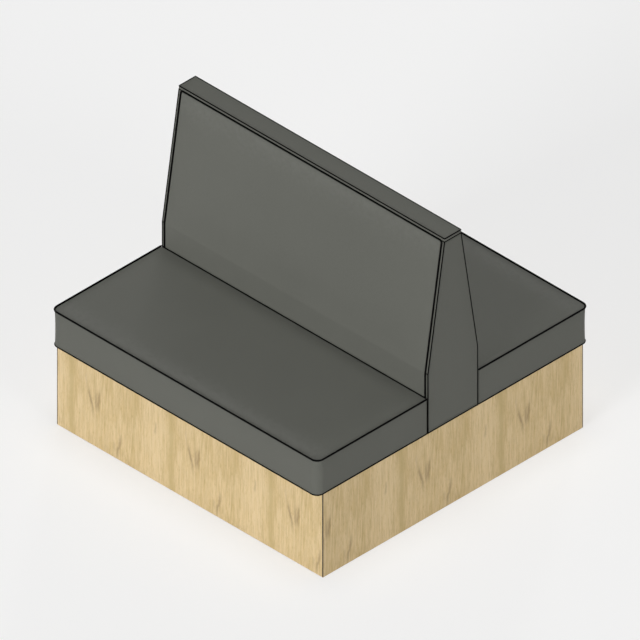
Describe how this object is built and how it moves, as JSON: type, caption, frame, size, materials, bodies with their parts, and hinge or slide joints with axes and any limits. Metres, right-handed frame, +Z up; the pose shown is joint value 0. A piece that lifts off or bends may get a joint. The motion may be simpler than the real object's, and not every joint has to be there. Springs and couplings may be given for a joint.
{
  "type": "restaurant booth seating",
  "caption": "Double restaurant booth: back-to-back vinyl seats and a shared upright back that narrows to a cap, on a wood-grain plinth.",
  "frame": {"origin": "on the floor, at the middle of the plinth", "axes": "+X along the booth to the right as seen from the front seat, +Y through it from the front seat to the rear seat, +Z up"},
  "size_m": [1.2254, 1.2508, 1.0668],
  "materials": {
    "grey_vinyl": "satin vinyl",
    "black_welt": "satin vinyl",
    "wood_laminate": "satin laminate",
    "plywood": "raw",
    "softwood": "raw",
    "foam": "open cell foam",
    "zinc_steel": "zinc plated"
  },
  "bodies": {
    "booth_frame": {"base_side_board_front": "plywood", "base_spine_front": "plywood", "base_rib_front": "plywood", "laminate_front": "wood_laminate", "back_bottom_rail_front": "softwood", "back_bend_rail_front": "softwood", "back_lower_skin_front": "plywood", "back_upper_skin_front": "plywood", "back_foam_front": "foam", "back_cover_front": "grey_vinyl", "back_welt_front": "black_welt", "base_side_board_rear": "plywood", "base_spine_rear": "plywood", "base_rib_rear": "plywood", "laminate_rear": "wood_laminate", "back_bottom_rail_rear": "softwood", "back_bend_rail_rear": "softwood", "back_lower_skin_rear": "plywood", "back_upper_skin_rear": "plywood", "back_foam_rear": "foam", "back_cover_rear": "grey_vinyl", "back_welt_rear": "black_welt", "base_end_board_left": "plywood", "laminate_left": "wood_laminate", "back_rib_left": "plywood", "end_panel_left": "plywood", "end_panel_cover_left": "grey_vinyl", "base_end_board_right": "plywood", "laminate_right": "wood_laminate", "back_rib_right": "plywood", "end_panel_right": "plywood", "end_panel_cover_right": "grey_vinyl", "base_centre_deck": "plywood", "corner_blocks": "softwood", "floor_brackets": "zinc_steel", "floor_bracket_screws": "zinc_steel", "tee_nuts": "zinc_steel", "back_bolts": "zinc_steel", "frame_screws": "zinc_steel", "back_top_rail": "softwood", "cap_board": "plywood", "cap_cover": "grey_vinyl"},
    "seat_front": {"seat_deck_front": "plywood", "seat_foam_front": "foam", "seat_boxing_front": "grey_vinyl", "seat_top_panel_front": "grey_vinyl", "seat_welt_front": "black_welt", "seat_cleats_front": "softwood", "seat_cleat_screws_front": "zinc_steel"},
    "seat_rear": {"seat_deck_rear": "plywood", "seat_foam_rear": "foam", "seat_boxing_rear": "grey_vinyl", "seat_top_panel_rear": "grey_vinyl", "seat_welt_rear": "black_welt", "seat_cleats_rear": "softwood", "seat_cleat_screws_rear": "zinc_steel"},
    "levelling_foot_front_left": {"levelling_foot_front_left": "zinc_steel"},
    "levelling_foot_front_right": {"levelling_foot_front_right": "zinc_steel"},
    "levelling_foot_rear_left": {"levelling_foot_rear_left": "zinc_steel"},
    "levelling_foot_rear_right": {"levelling_foot_rear_right": "zinc_steel"}
  },
  "joints": [
    {"name": "seat_front_lift", "type": "slide", "parent": "booth_frame", "child": "seat_front", "axis": [0, 0, 1], "range_m": [0, 0.15]},
    {"name": "seat_rear_lift", "type": "slide", "parent": "booth_frame", "child": "seat_rear", "axis": [0, 0, 1], "range_m": [0, 0.15]},
    {"name": "levelling_foot_front_left_screw_out", "type": "slide", "parent": "booth_frame", "child": "levelling_foot_front_left", "axis": [0, 0, -1], "range_m": [0, 0.015]},
    {"name": "levelling_foot_front_right_screw_out", "type": "slide", "parent": "booth_frame", "child": "levelling_foot_front_right", "axis": [0, 0, -1], "range_m": [0, 0.015]},
    {"name": "levelling_foot_rear_left_screw_out", "type": "slide", "parent": "booth_frame", "child": "levelling_foot_rear_left", "axis": [0, 0, -1], "range_m": [0, 0.015]},
    {"name": "levelling_foot_rear_right_screw_out", "type": "slide", "parent": "booth_frame", "child": "levelling_foot_rear_right", "axis": [0, 0, -1], "range_m": [0, 0.015]}
  ]
}
